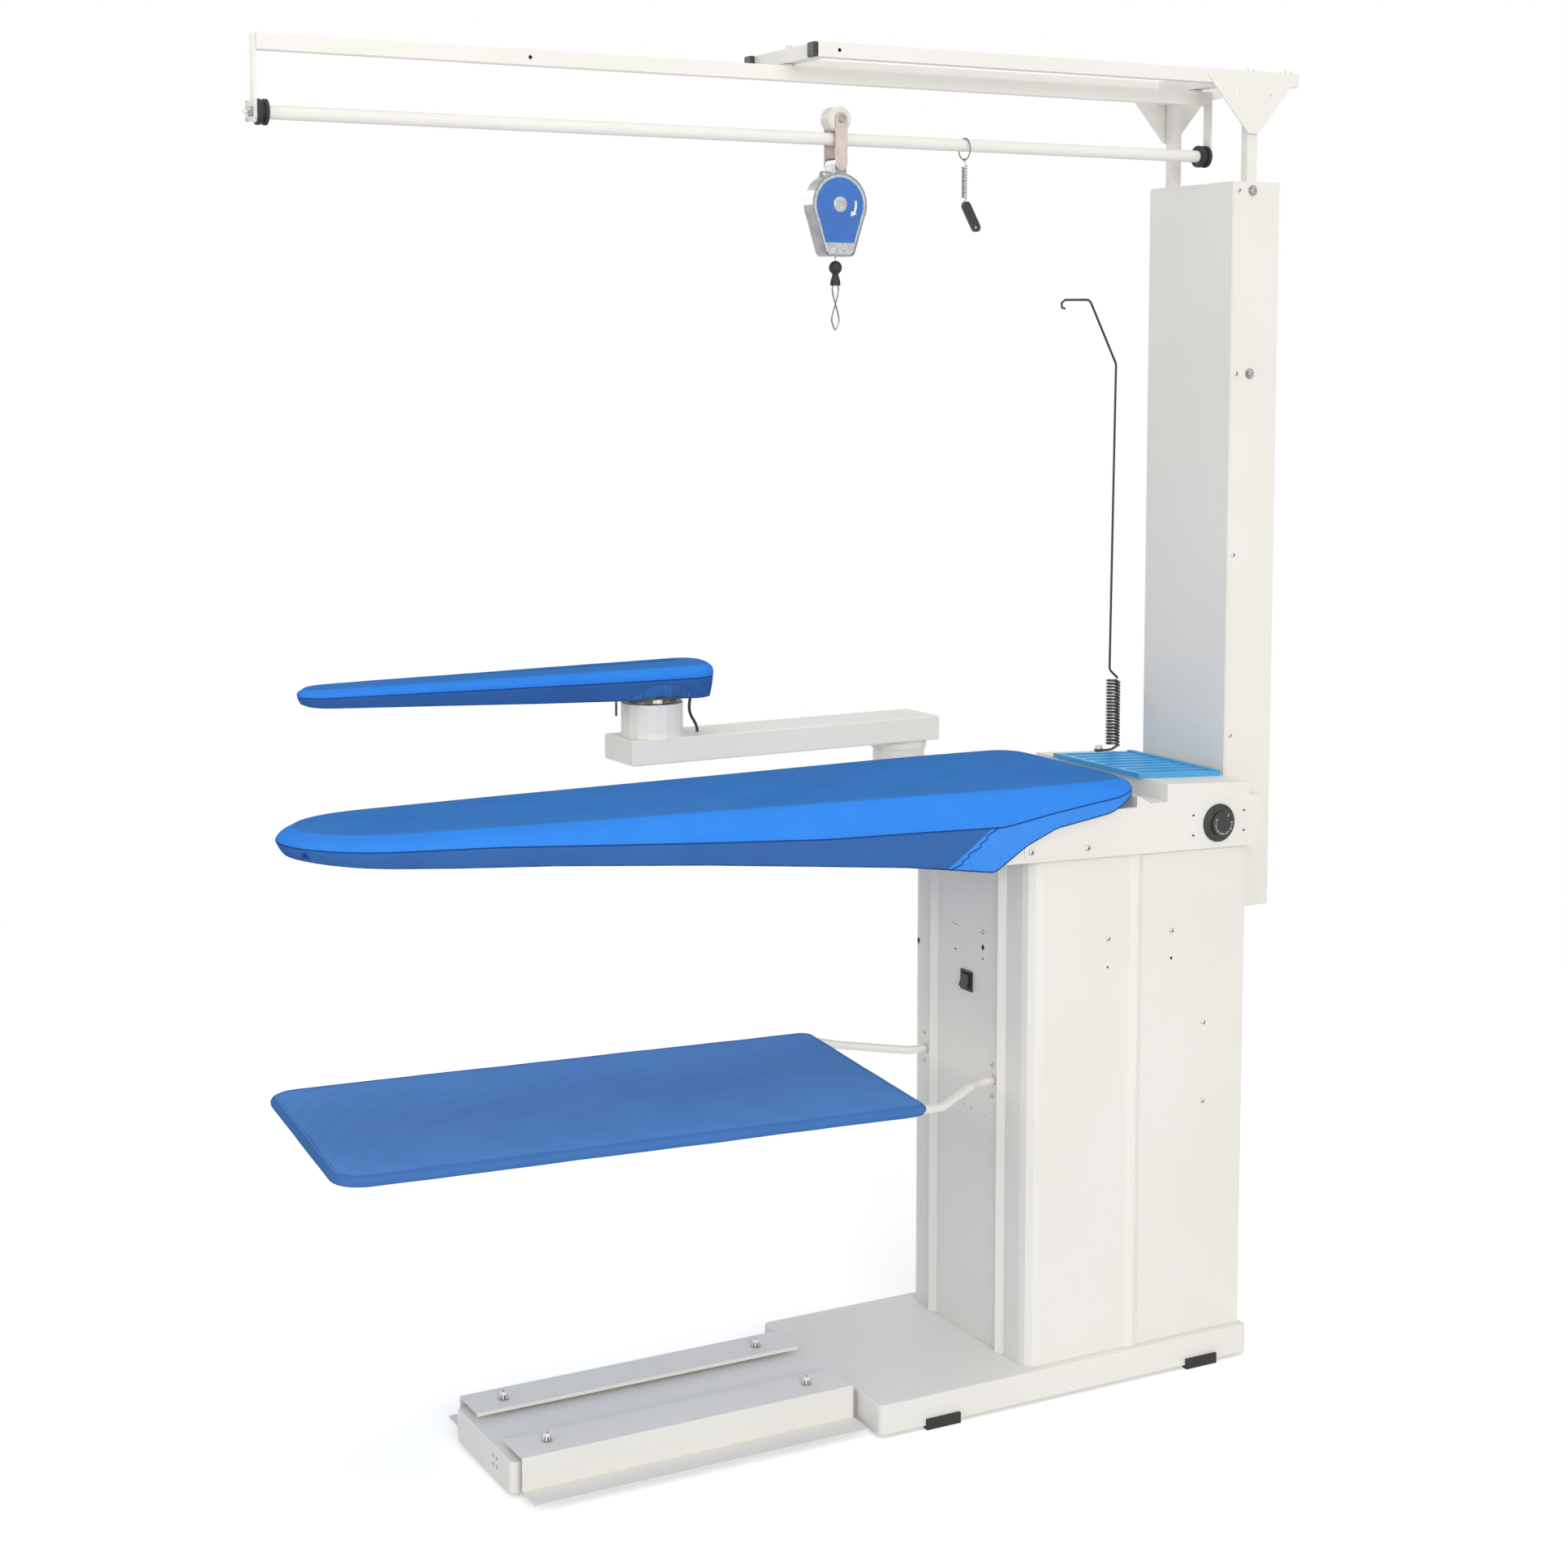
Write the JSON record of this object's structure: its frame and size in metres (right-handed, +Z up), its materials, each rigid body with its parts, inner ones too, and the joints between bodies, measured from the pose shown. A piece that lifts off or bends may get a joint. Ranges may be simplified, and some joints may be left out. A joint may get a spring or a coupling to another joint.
{
  "type": "vacuum ironing table",
  "caption": "Vacuum ironing table: padded board on a steel cabinet with foot pedals, swing-arm sleeve board, cloth tray and an overhead rail with a spring balancer.",
  "frame": {"origin": "on the floor under the middle of the whole object's bounding box", "axes": "+Z up; +X from the board's nose to the column; +Y away from the operator, towards the sleeve board"},
  "size_m": [1.59, 0.7484, 1.9452],
  "materials": {
    "powder_coat": "satin",
    "galvanised": "satin",
    "bright_steel": "polished",
    "wire_coating": "satin",
    "black_plastic": "satin",
    "nylon": "satin",
    "black_rubber": "matte",
    "rest_silicone": "satin",
    "blue_cloth": "matte",
    "strap_metal": "satin",
    "cast_silver": "satin",
    "label_blue": "gloss"
  },
  "bodies": {
    "machine": {"base_pan": "powder_coat", "foot_front_near": "black_rubber", "foot_front_far": "black_rubber", "foot_back_near": "black_rubber", "foot_back_far": "black_rubber", "foot_pedal_end": "black_rubber", "pedal_spring_near": "galvanised", "pedal_spring_far": "galvanised", "pedal_switches": "black_plastic", "cabinet_shell": "powder_coat", "cabinet_back": "powder_coat", "switch_bezel": "black_plastic", "blower_motor": "galvanised", "blower_housing": "galvanised", "head_floor": "galvanised", "head_housing": "powder_coat", "access_plate": "powder_coat", "dial_regulator": "black_plastic", "iron_rest": "rest_silicone", "board_cover": "blue_cloth", "board_tub": "galvanised", "board_grid": "galvanised", "board_chamber": "powder_coat", "column_channel": "powder_coat", "column_cover": "powder_coat", "gantry_frame": "powder_coat", "end_cap_near": "black_plastic", "end_cap_far": "black_plastic", "rail_beam": "powder_coat", "trolley_rail": "powder_coat", "rail_stopper_left": "black_rubber", "rail_stopper_right": "black_rubber", "wing_nut": "bright_steel", "sleeve_post": "powder_coat", "tray_frame": "powder_coat", "tray_cloth": "blue_cloth"},
    "pedal_near_bar": {"pedal_near": "powder_coat"},
    "pedal_far_bar": {"pedal_far": "powder_coat"},
    "rocker": {"switch_rocker": "black_plastic"},
    "fan": {"impeller": "galvanised"},
    "dial": {"dial_knob": "black_plastic"},
    "trolley": {"trolley_bolt": "bright_steel"},
    "roller": {"trolley_roller": "nylon"},
    "straps": {"trolley_straps": "strap_metal"},
    "balancer": {"balancer_case": "cast_silver", "balancer_cover": "label_blue", "balancer_cable": "galvanised"},
    "drum": {"balancer_drum": "galvanised"},
    "hook": {"balancer_ball": "black_rubber", "balancer_hook": "bright_steel"},
    "ring": {"key_ring": "bright_steel"},
    "hanger": {"hanger_spring": "bright_steel"},
    "clip": {"cord_clip": "black_plastic"},
    "wire_foot": {"wire_coil": "wire_coating"},
    "wire_top": {"wire_upright": "wire_coating"},
    "arm": {"sleeve_arm": "powder_coat", "sleeve_cable": "black_rubber"},
    "sleeve_board": {"sleeve_spigot": "bright_steel", "sleeve_cover": "blue_cloth", "sleeve_tub": "galvanised"}
  },
  "joints": [
    {"name": "pedal_near_press", "type": "slide", "parent": "machine", "child": "pedal_near_bar", "axis": [0, 0, -1], "range_m": [0, 0.005], "stiffness_N_per_m": 2000, "springref_m": -0.0125, "deforming": ["pedal_spring_near"]},
    {"name": "pedal_far_press", "type": "slide", "parent": "machine", "child": "pedal_far_bar", "axis": [0, 0, -1], "range_m": [0, 0.005], "stiffness_N_per_m": 2000, "springref_m": -0.0125, "deforming": ["pedal_spring_far"]},
    {"name": "rocker_tip", "type": "hinge", "parent": "machine", "child": "rocker", "pos_m": [0.281, -0.16593, 0.589], "axis": [0, 1, 0], "range_deg": [-20, 0]},
    {"name": "fan_spin", "type": "hinge", "parent": "machine", "child": "fan", "pos_m": [0.4773, -0.16943, 0.1641], "axis": [0, 0, 1], "continuous": true},
    {"name": "dial_turn", "type": "hinge", "parent": "machine", "child": "dial", "pos_m": [0.6115, -0.34143, 0.8271], "axis": [0, 1, 0], "range_deg": [-135, 135]},
    {"name": "trolley_run", "type": "slide", "parent": "machine", "child": "trolley", "axis": [1, 0, 0], "range_m": [-0.79, 0.05]},
    {"name": "roller_spin", "type": "hinge", "parent": "trolley", "child": "roller", "pos_m": [0.0533, -0.16943, 1.8473], "axis": [0, 1, 0], "continuous": true},
    {"name": "straps_swing", "type": "hinge", "parent": "trolley", "child": "straps", "pos_m": [0.0533, -0.16943, 1.8473], "axis": [0, 1, 0], "range_deg": [-15, 15]},
    {"name": "balancer_swing", "type": "hinge", "parent": "straps", "child": "balancer", "pos_m": [0.0533, -0.16943, 1.7855], "axis": [0, 1, 0], "range_deg": [-15, 15]},
    {"name": "drum_turn", "type": "hinge", "parent": "balancer", "child": "drum", "pos_m": [0.0533, -0.16943, 1.729], "axis": [0, 1, 0], "range_deg": [0, 800]},
    {"name": "hook_drop", "type": "slide", "parent": "balancer", "child": "hook", "axis": [0, 0, -1], "range_m": [0, 0.45], "stiffness_N_per_m": 5, "springref_m": -0.4, "deforming": ["balancer_cable"]},
    {"name": "ring_run", "type": "slide", "parent": "machine", "child": "ring", "axis": [1, 0, 0], "range_m": [-0.01, 0.32]},
    {"name": "hanger_swing", "type": "hinge", "parent": "ring", "child": "hanger", "pos_m": [0.2673, -0.16943, 1.7993], "axis": [0, 1, 0], "range_deg": [-15, 15]},
    {"name": "clip_pull", "type": "slide", "parent": "hanger", "child": "clip", "axis": [0, 0, -1], "range_m": [0, 0.02], "stiffness_N_per_m": 200, "springref_m": -0.004, "deforming": ["hanger_spring"]},
    {"name": "wire_swivel", "type": "hinge", "parent": "machine", "child": "wire_foot", "pos_m": [0.6173, -0.02743, 0.89293], "axis": [0, 0, 1], "range_deg": [-12, 12]},
    {"name": "wire_bend", "type": "hinge", "parent": "wire_foot", "child": "wire_top", "pos_m": [0.6438, -0.02743, 1.00455], "axis": [0, 1, 0], "range_deg": [-10, 8], "stiffness_Nm_per_rad": 3},
    {"name": "arm_swing", "type": "hinge", "parent": "machine", "child": "arm", "pos_m": [0.4463, 0.30757, 0.85], "axis": [0, 0, 1], "range_deg": [-120, 20]},
    {"name": "sleeve_board_turn", "type": "hinge", "parent": "arm", "child": "sleeve_board", "pos_m": [-0.01842, 0.29134, 0.95], "axis": [0, 0, 1], "range_deg": [-15, 15]}
  ],
  "couplings": [
    {"joint": "roller_spin", "follows": "trolley_run", "rad_per_m": 55.556},
    {"joint": "drum_turn", "follows": "hook_drop", "rad_per_m": 30.303}
  ]
}
